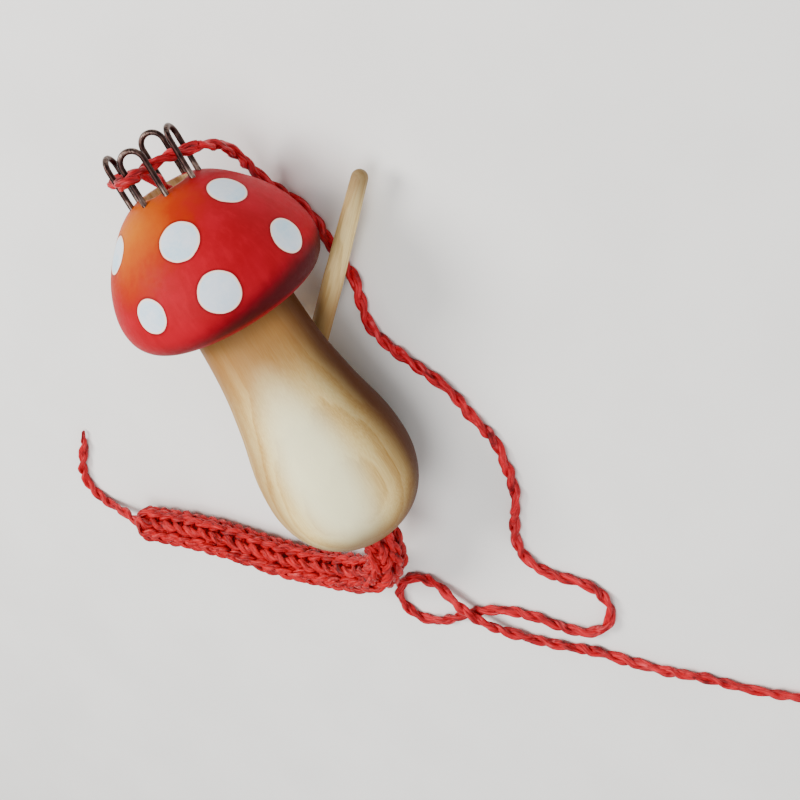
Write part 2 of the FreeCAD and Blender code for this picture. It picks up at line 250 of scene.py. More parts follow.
class Strands:
    """Collects tubes along lines into one mesh."""

    def __init__(self):
        self.verts, self.uvs, self.faces, self.tint, self.count = [], [], [], [], 0

    def add(self, line, radius, sides=8, tint=0.0, start_at=0.0, cap=True, unit=0.001):
        line = np.asarray(line, float)
        n = len(line)
        radius = np.broadcast_to(np.asarray(radius, float), (n,))
        t, a, b = frames(line)
        angle = np.linspace(0, 2 * math.pi, sides, endpoint=False)
        ring = (
            line[:, None]
            + radius[:, None, None]
            * (np.cos(angle)[None, :, None] * a[:, None] + np.sin(angle)[None, :, None] * b[:, None])
        )
        gaps = np.concatenate([[0], np.cumsum(np.linalg.norm(np.diff(line, axis=0), axis=1))])
        v = (gaps + start_at) / unit
        # A seam in the UVs would smear, so u runs to and fro round the strand.
        u = np.abs(1 - 2 * angle / (2 * math.pi))
        uv = np.stack(np.broadcast_arrays(u[None, :], v[:, None]), 2)
        base = self.count
        self.verts.append(ring.reshape(-1, 3))
        self.uvs.append(uv.reshape(-1, 2))
        self.tint.append(np.full(n * sides, tint))
        i = np.arange(n - 1)[:, None] * sides
        j = np.arange(sides)[None, :]
        k = (j + 1) % sides
        quads = np.stack([i + j, i + k, i + k + sides, i + j + sides], 2).reshape(-1, 4) + base
        self.faces.extend(quads.tolist())
        self.count += n * sides
        if cap:
            for end, order in ((0, -1), (n - 1, 1)):
                out = t[end] * order
                tip = line[end] + out * radius[end] * 0.5
                self.verts.append(tip[None])
                self.uvs.append(np.array([[0.5, v[end]]]))
                self.tint.append(np.array([tint]))
                for x in range(sides):
                    y = (x + 1) % sides
                    p, q = base + end * sides + x, base + end * sides + y
                    self.faces.append([q, p, self.count] if order < 0 else [p, q, self.count])
                self.count += 1

    def build(self, name, material):
        verts = np.concatenate(self.verts)
        verts[:, 2] = np.maximum(verts[:, 2], 0.0)  # flattened where it lies on the floor
        return make_object(
            name,
            verts,
            self.faces,
            material,
            np.concatenate(self.uvs),
            values={"tint": np.concatenate(self.tint)},
        )


def lay_yarn(strands, line, at, start=0.0, size=1.0, pitch=8.6, sides=6, taper=None, plies=2, wild=1.0, spread=0.41, fill=0.235, thick=0.405):
    """Lays yarn along a line: plies twisted round it, each of three finer bundles
    that are twisted the other way. Lengths in millimetres; at is in metres."""
    t, a, b = frames(line)
    far = at * 1000 + start
    wander = wild * (0.5 * np.sin(far * 0.29 + 0.7) + 0.4 * np.sin(far * 0.71 + 2.1) + 0.25 * np.sin(far * 1.37))
    taper = np.ones(len(line)) if taper is None else taper
    for j in range(plies):
        turn = 2 * math.pi * (far / pitch + j / plies) + 0.75 * wander
        swell = size * taper * (1 + 0.10 * np.sin(far * 0.83 + 2.4 * j) + 0.05 * np.sin(far * 2.3 + j))
        c, s = np.cos(turn)[:, None], np.sin(turn)[:, None]
        out, side = c * a + s * b, -s * a + c * b
        centre = line + out * (spread * MM * size * taper * (1 + 0.10 * wander))[:, None]
        for i in range(3):
            inner = -2 * math.pi * far / (0.8 * pitch) + 2 * math.pi * i / 3 + 0.9 * j + 0.5 * np.sin(far * 0.9 + i)
            off = (fill * MM * swell)[:, None]
            way = centre + (np.cos(inner)[:, None] * out + np.sin(inner)[:, None] * side) * off
            wide = thick * MM * swell * (1 + 0.08 * np.sin(far * 1.7 + 2.0 * i + j))
            strands.add(way, wide, sides, tint=(j * 3 + i) / 5, start_at=0.0037 * (i + 3 * j))


# ------------------------------------------------------------------ materials
def srgb(r, g, b, a=1.0):
    def one(c):
        c /= 255
        return c / 12.92 if c <= 0.04045 else ((c + 0.055) / 1.055) ** 2.4

    return (one(r), one(g), one(b), a)


class Look:
    """A small helper that builds a material's nodes."""

    def __init__(self, name):
        self.mat = bpy.data.materials.new(name)
        self.mat.use_nodes = True
        self.tree = self.mat.node_tree
        self.bsdf = self.tree.nodes["Principled BSDF"]
        self.coord = self.tree.nodes.new("ShaderNodeTexCoord")

    def put(self, value, socket):
        if isinstance(value, bpy.types.NodeSocket):
            self.tree.links.new(value, socket)
        elif value is not None:
            socket.default_value = value

    def node(self, kind, settings=None, **inputs):
        made = self.tree.nodes.new(kind)
        for key, value in (settings or {}).items():
            setattr(made, key, value)
        for key, value in inputs.items():
            self.put(value, made.inputs[int(key[1:]) if key[0] == "i" and key[1:].isdigit() else key.replace("_", " ")])
        return made

    def math(self, op, a, b=None, c=None, clamp=False):
        n = self.tree.nodes.new("ShaderNodeMath")
        n.operation, n.use_clamp = op, clamp
        for i, v in enumerate((a, b, c)):
            self.put(v, n.inputs[i])
        return n.outputs[0]

    def vmath(self, op, a, b=None, scale=None):
        n = self.tree.nodes.new("ShaderNodeVectorMath")
        n.operation = op
        self.put(a, n.inputs[0])
        if b is not None:
            self.put(b, n.inputs[1])
        if scale is not None:
            self.put(scale, n.inputs["Scale"])
        return n.outputs["Value"] if op in ("DISTANCE", "LENGTH", "DOT_PRODUCT") else n.outputs[0]

    def mix(self, factor, a, b, mode="MIX"):
        n = self.tree.nodes.new("ShaderNodeMix")
        n.data_type, n.blend_type = "RGBA", mode
        self.put(factor, n.inputs[0])
        self.put(a, n.inputs[6])
        self.put(b, n.inputs[7])
        return n.outputs[2]

    def noise(self, vector, scale, detail=3, rough=0.5, distort=0.0):
        n = self.tree.nodes.new("ShaderNodeTexNoise")
        self.put(vector, n.inputs["Vector"])
        self.put(scale, n.inputs["Scale"])
        self.put(detail, n.inputs["Detail"])
        self.put(rough, n.inputs["Roughness"])
        self.put(distort, n.inputs["Distortion"])
        return n.outputs["Fac"]

    def span(self, value, low, high, to_low=0.0, to_high=1.0, smooth=True):
        n = self.tree.nodes.new("ShaderNodeMapRange")
        n.interpolation_type = "SMOOTHSTEP" if smooth else "LINEAR"
        for i, v in enumerate((value, low, high, to_low, to_high)):
            self.put(v, n.inputs[i])
        return n.outputs[0]

    def ramp(self, value, stops):
        n = self.tree.nodes.new("ShaderNodeValToRGB")
        ramp = n.color_ramp
        ends = ramp.elements[0], ramp.elements[1]
        for e, (p, c) in zip(ends, (stops[0], stops[-1])):
            e.position, e.color = p, c
        for p, c in stops[1:-1]:
            ramp.elements.new(p).color = c
        self.put(value, n.inputs[0])
        return n.outputs[0]

    def mapped(self, vector, location=(0, 0, 0), rotation=(0, 0, 0), scale=(1, 1, 1)):
        n = self.tree.nodes.new("ShaderNodeMapping")
        self.put(vector, n.inputs["Vector"])
        n.inputs["Location"].default_value = location
        n.inputs["Rotation"].default_value = rotation
        n.inputs["Scale"].default_value = scale
        return n.outputs[0]

    def bump(self, height, strength, distance, normal=None):
        n = self.tree.nodes.new("ShaderNodeBump")
        n.inputs["Strength"].default_value = strength
        n.inputs["Distance"].default_value = distance
        self.put(height, n.inputs["Height"])
        if normal is not None:
            self.put(normal, n.inputs["Normal"])
        return n.outputs[0]

    def doll(self):
        """Object coordinates turned into the toadstool's own frame, in metres."""
        turn = Matrix(((1, 0, 0), tuple(-OVER), tuple(AXIS)))
        shift = -(turn @ UNDERSIDE)
        return self.mapped(self.coord.outputs["Object"], tuple(shift), tuple(turn.to_euler("XYZ")))

    def xyz(self, vector):
        n = self.tree.nodes.new("ShaderNodeSeparateXYZ")
        self.put(vector, n.inputs[0])
        return n.outputs[0], n.outputs[1], n.outputs[2]

    def join(self, x, y, z):
        n = self.tree.nodes.new("ShaderNodeCombineXYZ")
        for i, v in enumerate((x, y, z)):
            self.put(v, n.inputs[i])
        return n.outputs[0]

    def set(self, **inputs):
        for key, value in inputs.items():
            self.put(value, self.bsdf.inputs[key.replace("_", " ")])


def yarn_look(name, light, middle, deep, painted_sheen):
    k = Look(name)
    uv = k.node("ShaderNodeUVMap", {"uv_map": "along"}).outputs[0]
    u, v, _ = k.xyz(uv)
    tint = k.node("ShaderNodeAttribute", {"attribute_name": "tint"}).outputs["Fac"]
    # Fibres run along each bundle, with a slight slant; v is in millimetres.
    slant = k.math("ADD", k.math("MULTIPLY", u, 5.0), k.math("MULTIPLY", v, 0.9))
    fibre = k.noise(k.join(slant, k.math("MULTIPLY", v, 0.22), k.math("MULTIPLY", tint, 31.0)), 1.0, 4, 0.62)
    streak = k.noise(k.join(k.math("MULTIPLY", u, 2.0), k.math("MULTIPLY", v, 0.34), k.math("ADD", k.math("MULTIPLY", tint, 57.0), 9.0)), 1.0, 2, 0.5)
    cloudy = k.noise(k.coord.outputs["Object"], 210, 3, 0.6)
    blend = k.math("ADD", k.math("MULTIPLY", k.span(fibre, 0.3, 0.72), 0.52), k.math("MULTIPLY", k.span(cloudy, 0.3, 0.7), 0.28))
    blend = k.math("ADD", blend, k.math("MULTIPLY", tint, 0.20), clamp=True)
    base = k.ramp(blend, [(0.14, deep), (0.5, middle), (0.9, light)])
    # Here and there a bundle has a paler pink run, a painted sheen highlight.
    base = k.mix(k.span(streak, 0.60, 0.74, 0.0, 0.62), base, painted_sheen)
    k.set(Base_Color=base, Roughness=k.span(fibre, 0.25, 0.75, 0.58, 0.36), Normal=k.bump(fibre, 0.6, 0.00012))
    k.bsdf.inputs["Sheen Weight"].default_value = 0.06
    k.bsdf.inputs["Sheen Roughness"].default_value = 0.35
    k.bsdf.inputs["Sheen Tint"].default_value = srgb(255, 120, 120)
    k.bsdf.inputs["Specular IOR Level"].default_value = 0.22
    k.bsdf.inputs["Subsurface Weight"].default_value = 0.0
    return k.mat


# The last colour of each yarn is a painted sheen highlight.
yarn_red = yarn_look("yarn_red", srgb(206, 22, 40), srgb(174, 6, 22), srgb(96, 0, 9), srgb(226, 76, 84))
knit_red = yarn_look("knit_red", srgb(198, 14, 26), srgb(168, 4, 14), srgb(84, 0, 5), srgb(220, 66, 66))

# ------------------------------------------------------------------ cords
threaded = smooth_line("threaded_yarn", THREADED)
working = smooth_line("working_yarn", WORKING)


def coil_points():
    """More points of the working yarn's spline: a neat round coil, its turns a
    diameter apart, lying beside and on each other."""
    rows = [
        (1.0, (13.9, 12.0, 10.0, 8.0)),
        (2.75, (9.0, 11.0, 13.0)),
        (4.5, (14.0, 12.0, 10.0, 8.0)),
        (6.25, (9.0, 11.0, 13.0)),
    ]
    turns = [(radius, z) for z, radii in rows for radius in radii]
    out, per = [], 14
    start = math.atan2(WORKING[-1][1] - COIL_AT[1], WORKING[-1][0] - COIL_AT[0])
    total = len(turns) * per
    for i in range(2, total):
        f = i / per
        j = int(f)
        part = f - j
        r0, z0 = turns[j]
        r1, z1 = turns[min(j + 1, len(turns) - 1)]
        w = max(0.0, (part - 0.72) / 0.28)
        w = w * w * (3 - 2 * w)
        r, z = r0 + (r1 - r0) * w, z0 + (z1 - z0) * w
        r += 0.10 * math.sin(3 * f + 1.3 * j)
        a = start + 2 * math.pi * f
        out.append(
            (
                COIL_AT[0] + r * MM * math.cos(a) * 1.015,
                COIL_AT[1] + r * MM * math.sin(a) * 1.015,
                (max(1.0, z + 0.05 * math.sin(5 * a)) + 1.25 * math.exp(-((math.remainder(a - math.pi / 2, 2 * math.pi) / 0.42) ** 2))) * MM,
            )
        )
    return out


full_route = WORKING + coil_points()
supply = smooth_line("supply_yarn", full_route)

STEP = 0.0003
line_t, at_t = even(threaded, STEP)
line_w, at_w = even(supply, STEP)
# The coil is laid with fewer points than the stretch that is seen.
loose = int(0.285 / STEP)
kept = np.concatenate([np.arange(loose), np.arange(loose, len(at_w), 2)])
if kept[-1] != len(at_w) - 1:
    kept = np.append(kept, len(at_w) - 1)
line_w, at_w = line_w[kept], at_w[kept]

parts = Strands()
lay_yarn(parts, line_t, at_t, start=0.0, size=1.08)
threaded_yarn = parts.build("threaded_plies", yarn_red)
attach(threaded_yarn, "root")
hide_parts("threaded_yarn")

parts = Strands()
bare_end = np.clip((at_w[-1] - at_w) / 0.004, 0.45, 1.0)
# A little fuller where it lies loose than in the coil.
loose_yarn = 1.16 - 0.16 * np.clip((at_w - 0.24) / 0.03, 0, 1) - 0.08 * np.clip(1 - at_w / 0.01, 0, 1)
lay_yarn(parts, line_w, at_w, start=at_t[-1] * 1000, sides=5, taper=bare_end * loose_yarn)
working_yarn = parts.build("working_plies", yarn_red)
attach(working_yarn, "root")
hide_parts("working_yarn", "yarn_coil")
print("working yarn", at_w[-1])

# The knitted cord.
knit_route = smooth_line("knitted_cord", KNITTED)
top = to_row((0, 0, 0.020))
bore_line = np.array([list(top), KNITTED[0]], float)
line_all, at_all = even(np.concatenate([bore_line, knit_route[1:]]), 0.0003)
split = (Vector(KNITTED[0]) - top).length


def knit(first, last, name, replaced, material):
    """Four wales of knit stitches in a spiral round the cord's line."""
    t, a, b = frames(line_all)
    height, wales = 3.25, 4
    mean, depth, swing, reach = 2.78, 0.55, 0.205, 2.62
    per = 28

    def pick_line(at):
        past = np.clip(at - at_all[-1], 0, None)
        on = np.stack([np.interp(at, at_all, line_all[:, i]) for i in range(3)], 1)
        return on + t[-1] * past[:, None]

    lo_k = int(math.ceil(first * 1000 / height * wales))
    hi_k = int(math.floor(last * 1000 / height * wales))
    s_all = np.arange(lo_k * per, hi_k * per + 1) / per
    turn = 2 * math.pi * s_all
    local = turn
    along_mm = s_all * height / wales - reach * np.cos(local)
    end_mm = at_all[-1] * 1000
    radial = mean - depth * np.cos(2 * local)
    angle = 2 * math.pi * s_all / wales + 2 * math.pi / wales * swing * np.sin(2 * local)
    # a small unevenness from stitch to stitch
    stitch = np.floor(s_all).astype(int)
    wob = rng.normal(0, 1, stitch.max() + 3)
    ease = (1 - np.cos(local)) / 2
    along_mm = along_mm + 0.10 * (wob[stitch] * ease)
    radial = radial + 0.06 * np.sin(s_all * 0.9)
    # the closed end draws in
    left = end_mm - along_mm
    shut = np.clip((left + 3.2) / 5.2, 0.0, 1.0)
    shut = np.sqrt(np.clip(1 - (1 - shut) ** 2, 0, 1))
    radial = 0.9 + (radial - 0.9) * shut
    at_m = np.clip(along_mm * MM, 0, None)
    over = np.clip(at_m - at_all[-1], 0, None)
    pick = lambda v: np.stack([np.interp(at_m, at_all, v[:, i]) for i in range(3)], 1)
    c, ta, na, ba = pick(line_all), pick(t), pick(a), pick(b)
    c = c + ta * over[:, None]
    way = np.cos(angle)[:, None] * na + np.sin(angle)[:, None] * ba
    loop = c + way * (radial * MM)[:, None]
    loop[:, 2] = np.maximum(loop[:, 2], 0.00088)
    far = np.concatenate([[0], np.cumsum(np.linalg.norm(np.diff(loop, axis=0), axis=1))])
    made = Strands()
    lay_yarn(made, loop, far, size=1.1, pitch=9.5, sides=5, wild=0.5, spread=0.30, fill=0.20, thick=0.40)
    # The floats that fill the middle of the cord, as one dark core.
    closed = replaced == "knitted_cord"
    inner_at = np.arange(first + 0.0004, last + (0.0026 if closed else 0.0), 0.0008)
    inner_line = pick_line(inner_at)
    closing = np.clip((end_mm * MM + 0.0030 - inner_at) / 0.0050, 0.0, 1.0)
    made.add(inner_line, 0.0026 * np.sqrt(np.clip(1 - (1 - closing) ** 2, 0.02, 1)), 14, tint=0.0)
    piece = made.build(name, material)
    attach(piece, "root")
    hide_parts(replaced)
    return piece


bore_knit = knit(0.0, split, "cord_in_bore_knit", "cord_in_bore", knit_red)
knitted = knit(split, at_all[-1], "knitted_cord_knit", "knitted_cord", knit_red)

tail_line, tail_at = even(smooth_line("starting_tail", TAIL), STEP)
parts = Strands()
# It starts a little inside the cord's closed end.
rooted = tail_line[0] - (tail_line[1] - tail_line[0]) / STEP * np.linspace(0.0026, STEP, 7)[:, None]
rooted, rooted_at = even(np.concatenate([rooted, tail_line]), STEP)
lay_yarn(parts, rooted, rooted_at, start=1.0, size=1.1, taper=np.clip((rooted_at[-1] - rooted_at) / 0.004, 0.45, 1.0))
tail = parts.build("starting_tail_plies", yarn_red)
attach(tail, "root")
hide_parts("starting_tail")

# The tie: two wraps of the same yarn round the coil, a crossing on top and two
# short ends that lie along the coil.
def tie_piece():
    def squared(v, power):
        return np.sign(v) * np.abs(v) ** power

    turns = np.linspace(-0.25, 1.75, 90) * 2 * math.pi + math.pi
    wrap = np.stack(
        [
            -0.95 + 1.9 * np.linspace(0, 1, 90),
            11.0 + 5.0 * squared(np.cos(turns), 0.8),
            4.95 + 4.1 * squared(np.sin(turns), 0.8),
        ],
        1,
    )
    made = Strands()
    line, at = even(wrap * MM + np.array([COIL_AT[0], COIL_AT[1], 0]), 0.0004)
    lay_yarn(made, line, at, size=0.74, pitch=6.0, start=3.0, sides=5)
    for way in (1, -1):
        a = math.pi / 2 - way * np.linspace(-0.12, 0.78, 24)
        r = 11.0 + way * 0.9 * np.linspace(-1, 1, 24)
        z = 9.9 - 1.85 * np.clip(np.linspace(-0.35, 1.3, 24), 0, 1) + (0.55 if way > 0 else 0.0) * np.exp(-np.linspace(-1, 6, 24) ** 2)
        end = np.stack([r * np.cos(a), r * np.sin(a), z], 1)
        line, at = even(end * MM + np.array([COIL_AT[0], COIL_AT[1], 0]), 0.0004)
        lay_yarn(made, line, at, size=0.74, pitch=6.0, start=5.0 * way, sides=5, taper=np.clip((at[-1] - at) / 0.003, 0.4, 1.0))
    piece = made.build("coil_tie_wraps", yarn_red)
    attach(piece, "root")
    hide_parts("coil_tie")
    return piece


tie = tie_piece()

# ------------------------------------------------------------------ finishes
def give(node, mat):
    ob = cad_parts[node]
    ob.data.materials.clear()
    ob.data.materials.append(mat)


# The cap's outside, from the crown to the underside: height and radius in mm.
CAP_RIM = [
    (24.4, 5.6), (23.25, 8.3), (21.7, 10.5), (19.95, 12.4), (17.5, 14.65), (14.7, 16.6),
    (11.6, 18.05), (9.0, 18.8), (6.7, 19.0), (4.1, 18.5), (1.95, 17.0), (0.6, 14.8), (0.0, 12.6),
]


def on_cap(turn, height):
    """A point of the cap's surface, in mm; turn is in degrees from the side that
    faces the viewer of the threading, to that viewer's right."""
    z, r = zip(*CAP_RIM[::-1])
    radius = float(np.interp(height, z, r))
    angle = math.radians(turn)
    out, across = radius * math.cos(angle), radius * math.sin(angle)
    c, s = math.cos(VIEW), math.sin(VIEW)
    return (out * c + across * s, -out * s + across * c, height)


# The white dots: turn, height on the cap, diameter.
DOTS = [
    (-10, 17.9, 6.9), (-4, 8.6, 7.0), (-43, 9.8, 5.9), (44, 9.8, 6.3), (45, 20.2, 6.6), (-77, 19.3, 6.6),
    (98, 8.3, 6.6), (116, 17.4, 6.3), (135, 7.4, 6.2), (157, 18.0, 6.7), (175, 8.6, 6.8),
    (198, 17.8, 6.2), (217, 7.2, 6.4), (240, 18.0, 6.5), (259, 8.4, 6.4),
]


def cap_look():
    k = Look("cap_lacquer")
    p = k.vmath("SCALE", k.doll(), scale=1000.0)
    x, y, z = k.xyz(p)
    c, s = math.cos(VIEW), math.sin(VIEW)
    front = k.math("SUBTRACT", k.math("MULTIPLY", x, c), k.math("MULTIPLY", y, s))
    side = k.math("ADD", k.math("MULTIPLY", x, s), k.math("MULTIPLY", y, c))
    radius = k.math("SQRT", k.math("ADD", k.math("MULTIPLY", x, x), k.math("MULTIPLY", y, y)))
    cloud = k.noise(p, 0.16, 4, 0.55)
    fine = k.noise(p, 1.3, 4, 0.6)
    brushed = k.noise(k.mapped(p, scale=(1, 1, 0.12)), 0.9, 3, 0.6)

    # Red lacquer, a little uneven, with a painted warm highlight in amber and orange at the crown's left side.
    red = k.mix(k.span(cloud, 0.35, 0.66), srgb(156, 3, 22), srgb(168, 7, 30))
    red = k.mix(k.span(brushed, 0.45, 0.75, 0.0, 0.4), red, srgb(182, 14, 36))
    warm_highlight_reach = k.vmath("DISTANCE", p, on_cap(-56, 22.0))
    warm_highlight_reach = k.math("ADD", warm_highlight_reach, k.math("MULTIPLY", k.math("SUBTRACT", cloud, 0.5), 7.0))
    warm_highlight_reach = k.math("ADD", warm_highlight_reach, k.math("MULTIPLY", k.math("SUBTRACT", brushed, 0.5), 2.5))
    warm_highlight_colour = k.ramp(
        k.span(warm_highlight_reach, 1.5, 17.0, smooth=False),
        [
            (0.0, srgb(188, 98, 0)),
            (0.26, srgb(178, 74, 0)),
            (0.50, srgb(164, 40, 0)),
            (0.76, srgb(158, 14, 8)),
            (1.0, srgb(156, 4, 21)),
        ],
    )
    # Painted warm highlight laid over the red.
    red = k.mix(k.span(warm_highlight_reach, 9.5, 16.5), warm_highlight_colour, red)
    # Painted shade: the rim's underturn is darkened to a deep maroon, wider to the right, with a painted lighter lip at
    # the very edge.
    wide = k.span(side, -12.0, 16.0, 0.0, 1.0)
    rim_shade_top = k.math("ADD", 3.4, k.math("MULTIPLY", wide, 3.4))
    painted_rim_shade = k.math("SUBTRACT", rim_shade_top, k.math("ADD", z, k.math("MULTIPLY", k.math("SUBTRACT", cloud, 0.5), 2.0)))
    painted_rim_shade = k.math("MULTIPLY", k.span(painted_rim_shade, -1.6, 2.4), k.span(z, 0.5, 2.0, 0.35, 1.0))
    painted_rim_shade = k.math("MULTIPLY", painted_rim_shade, k.span(side, -17.0, -4.0, 0.25, 0.92))
    red = k.mix(painted_rim_shade, red, srgb(50, 1, 6))
    # Painted light on the lip, easing the painted shade at the very edge.
    painted_lip_light = k.math("MULTIPLY", k.span(z, 1.7, 0.4), k.span(radius, 14.2, 15.2))
    red = k.mix(k.math("MULTIPLY", painted_lip_light, 0.35), red, srgb(150, 10, 20))

    # Dots: the distance to the nearest dot's edge, less than nothing inside it.
    edge = None
    for turn, height, wide_mm in DOTS:
        d = k.math("SUBTRACT", k.vmath("DISTANCE", p, on_cap(turn, height)), wide_mm / 2)
        edge = d if edge is None else k.math("MINIMUM", edge, d)
    edge = k.math("ADD", edge, k.math("MULTIPLY", k.math("SUBTRACT", k.noise(p, 0.28, 2, 0.5), 0.5), 0.5))
    inside = k.span(edge, 0.06, -0.06)
    line = k.math("MULTIPLY", k.span(edge, 0.55, 0.1), k.span(edge, 0.02, 0.1))
    red = k.mix(k.math("MULTIPLY", line, 0.55), red, srgb(92, 4, 14))
    white = k.mix(k.span(cloud, 0.42, 0.62), srgb(214, 226, 240), srgb(190, 219, 238))
    white = k.mix(k.span(fine, 0.4, 0.7, 0.0, 0.35), white, srgb(236, 240, 244))
    white = k.mix(k.span(edge, -0.42, -0.16), white, srgb(250, 226, 210))
    paint = k.mix(inside, red, white)

    # Bare wood: the bore, the flat ring under the cap, and worn edges at the
    # crown's rim and round the staples' holes.
    rings = k.noise(k.mapped(p, scale=(1, 1, 0.03)), 1.6, 4, 0.6)
    wood = k.mix(k.span(rings, 0.35, 0.7), srgb(206, 168, 112), srgb(232, 205, 158))
    inner = k.math("MULTIPLY", k.span(radius, 4.62, 4.52), 1.0)
    below = k.math("MULTIPLY", k.span(z, 0.16, 0.05), k.span(k.math("ADD", radius, fine), 13.6, 13.3))
    chip = k.math("MULTIPLY", k.span(z, 23.95, 24.35), k.span(k.math("ADD", k.math("MULTIPLY", k.math("ABSOLUTE", k.math("SUBTRACT", radius, 4.7)), 0.4), fine), 0.62, 0.52))
    bare = k.math("MAXIMUM", k.math("MAXIMUM", inner, below), k.math("MULTIPLY", chip, 0.3), clamp=True)
    k.set(Base_Color=k.mix(bare, paint, wood))
    rough = k.math("ADD", k.span(fine, 0.3, 0.75, 0.46, 0.58), k.math("MULTIPLY", inside, 0.08))
    k.set(Roughness=k.math("MAXIMUM", rough, k.math("MULTIPLY", bare, 0.62)))
    peel = k.noise(p, 0.75, 2, 0.5)
    height = k.math("ADD", k.math("MULTIPLY", peel, 0.5), k.math("MULTIPLY", inside, 0.5))
    height = k.math("ADD", height, k.math("MULTIPLY", k.noise(k.mapped(p, scale=(0.15, 0.15, 2.2)), 1.0, 3, 0.6), 0.35))
    k.set(Normal=k.bump(height, 0.35, 0.00012))
    k.bsdf.inputs["Specular IOR Level"].default_value = 0.07
    k.bsdf.inputs["Coat Weight"].default_value = 0.0
    return k.mat


def wood_look(name, tones, heart, streak, place=None, marks=None, rough=(0.40, 0.56), grain=0.3):
    """Turned wood: growth rings round an axis off to one side, fine pores along the
    grain, and marks laid over them: stains, and on the stem painted shade and a painted highlight."""
    k = Look(name)
    p = k.vmath("SCALE", place(k) if place else k.doll(), scale=1000.0)
    x, y, z = k.xyz(p)
    warp = k.noise(k.mapped(p, scale=(1, 1, 0.22)), 0.11, 3, 0.5)
    warp2 = k.noise(k.mapped(p, scale=(1, 1, 0.05)), 0.6, 3, 0.5)
    dx, dy = k.math("SUBTRACT", x, heart[0]), k.math("SUBTRACT", y, heart[1])
    far = k.math("SQRT", k.math("ADD", k.math("MULTIPLY", dx, dx), k.math("MULTIPLY", dy, dy)))
    far = k.math("ADD", far, k.math("MULTIPLY", warp, 6.0))
    far = k.math("ADD", far, k.math("MULTIPLY", warp2, 1.1))
    saw = k.math("FRACT", k.math("MULTIPLY", far, streak))
    ring = k.math("MULTIPLY", k.span(saw, 0.0, 0.78), k.span(saw, 1.0, 0.86))
    pores = k.noise(k.mapped(p, scale=(1, 1, 0.035)), 5.0, 5, 0.7)
    broad = k.noise(k.mapped(p, scale=(1, 1, 0.25)), 0.10, 3, 0.5)
    tone = k.math("ADD", k.math("MULTIPLY", ring, 0.34), k.math("MULTIPLY", k.span(pores, 0.3, 0.72), 0.36))
    tone = k.math("ADD", tone, k.math("MULTIPLY", k.span(broad, 0.3, 0.7), 0.30))
    base = k.ramp(tone, [(0.08, tones[2]), (0.5, tones[1]), (0.9, tones[0])])
    base = k.mix(k.span(pores, 0.66, 0.76, 0.0, 0.22), base, tones[3])
    if marks:
        base = marks(k, p, x, y, z, base, broad, pores)
    k.set(Base_Color=base)
    k.set(Roughness=k.span(pores, 0.3, 0.7, rough[1], rough[0]))
    lathe = k.noise(k.mapped(p, scale=(0.03, 0.03, 3.0)), 1.0, 3, 0.6)
    height = k.math("ADD", k.math("MULTIPLY", pores, 0.7), k.math("MULTIPLY", lathe, 0.3))
    k.set(Normal=k.bump(height, grain, 0.00010))
    k.bsdf.inputs["Specular IOR Level"].default_value = 0.08
    k.bsdf.inputs["Coat Weight"].default_value = 0.0
    return k.mat


def stem_stain_and_painted_light(k, p, x, y, z, base, broad, pores):
    c, s = math.cos(VIEW), math.sin(VIEW)
    side = k.math("ADD", k.math("MULTIPLY", x, s), k.math("MULTIPLY", y, c))
    front = k.math("SUBTRACT", k.math("MULTIPLY", x, c), k.math("MULTIPLY", y, s))
    loose = k.math("MULTIPLY", k.math("SUBTRACT", broad, 0.5), 9.0)
    # Tan under the cap, fading down the neck, partly stain and partly painted shade; right under the cap a darker band
    # of painted shadow.
    neck_stain_and_shade = k.span(k.math("ADD", z, loose), -21.0, -4.0, 0.0, 0.85)
    base = k.mix(neck_stain_and_shade, base, srgb(146, 98, 50))
    painted_cap_shadow = k.span(z, -5.0, -0.4, 0.0, 0.7)
    base = k.mix(painted_cap_shadow, base, srgb(74, 44, 20))
    # A painted highlight: a paler patch on the swell, a little left of its front.
    painted_highlight = k.vmath("DISTANCE", k.mapped(p, scale=(1, 1, 0.36)), (c * 13.5 - s * 3.5, -s * 13.5 - c * 3.5, -30.0 * 0.36))
    base = k.mix(k.span(k.math("ADD", painted_highlight, k.math("MULTIPLY", loose, 0.3)), 9.5, 3.0, 0.0, 0.82), base, srgb(250, 248, 204))
    # Painted shade: a brown foot, and brown flanks where the stem turns away from the viewer, deep on the right.
    foot = k.span(k.math("ADD", z, k.math("MULTIPLY", loose, 0.35)), -39.5, -48.0, 0.0, 0.85)
    base = k.mix(foot, base, srgb(96, 54, 18))
    wide = k.math("SQRT", k.math("ADD", k.math("MULTIPLY", x, x), k.math("MULTIPLY", y, y)))
    turn = k.math("DIVIDE", side, k.math("MAXIMUM", wide, 1.0))
    turn = k.math("ADD", turn, k.math("MULTIPLY", loose, 0.028))
    behind = k.span(k.math("DIVIDE", front, k.math("MAXIMUM", wide, 1.0)), -1.0, -0.25, 0.3, 1.0)
    painted_flank_shade = k.math("MULTIPLY", k.span(turn, 0.28, 0.92, 0.0, 1.0), behind)
    base = k.mix(painted_flank_shade, base, srgb(70, 35, 10))
    # Painted shade, lighter, on the left flank.
    other = k.math("MULTIPLY", k.span(turn, -0.72, -1.0, 0.0, 0.55), behind)
    base = k.mix(other, base, srgb(128, 84, 40))
    return base


def stylus_place(k):
    """The stylus's own frame: z along it from its lower end."""
    way = Vector((0.7033, 0.7093, 0.0545)).normalized()
    across = way.cross(Vector((0, 0, 1))).normalized()
    over = across.cross(way)
    turn = Matrix((tuple(across), tuple(over), tuple(way)))
    start = Vector((-0.0152, -0.0298, 0.00198)) - Vector((0.00423, -0.008415, 0.0))
    shift = -(turn @ start)
    return k.mapped(k.coord.outputs["Object"], tuple(shift), tuple(turn.to_euler("XYZ")))


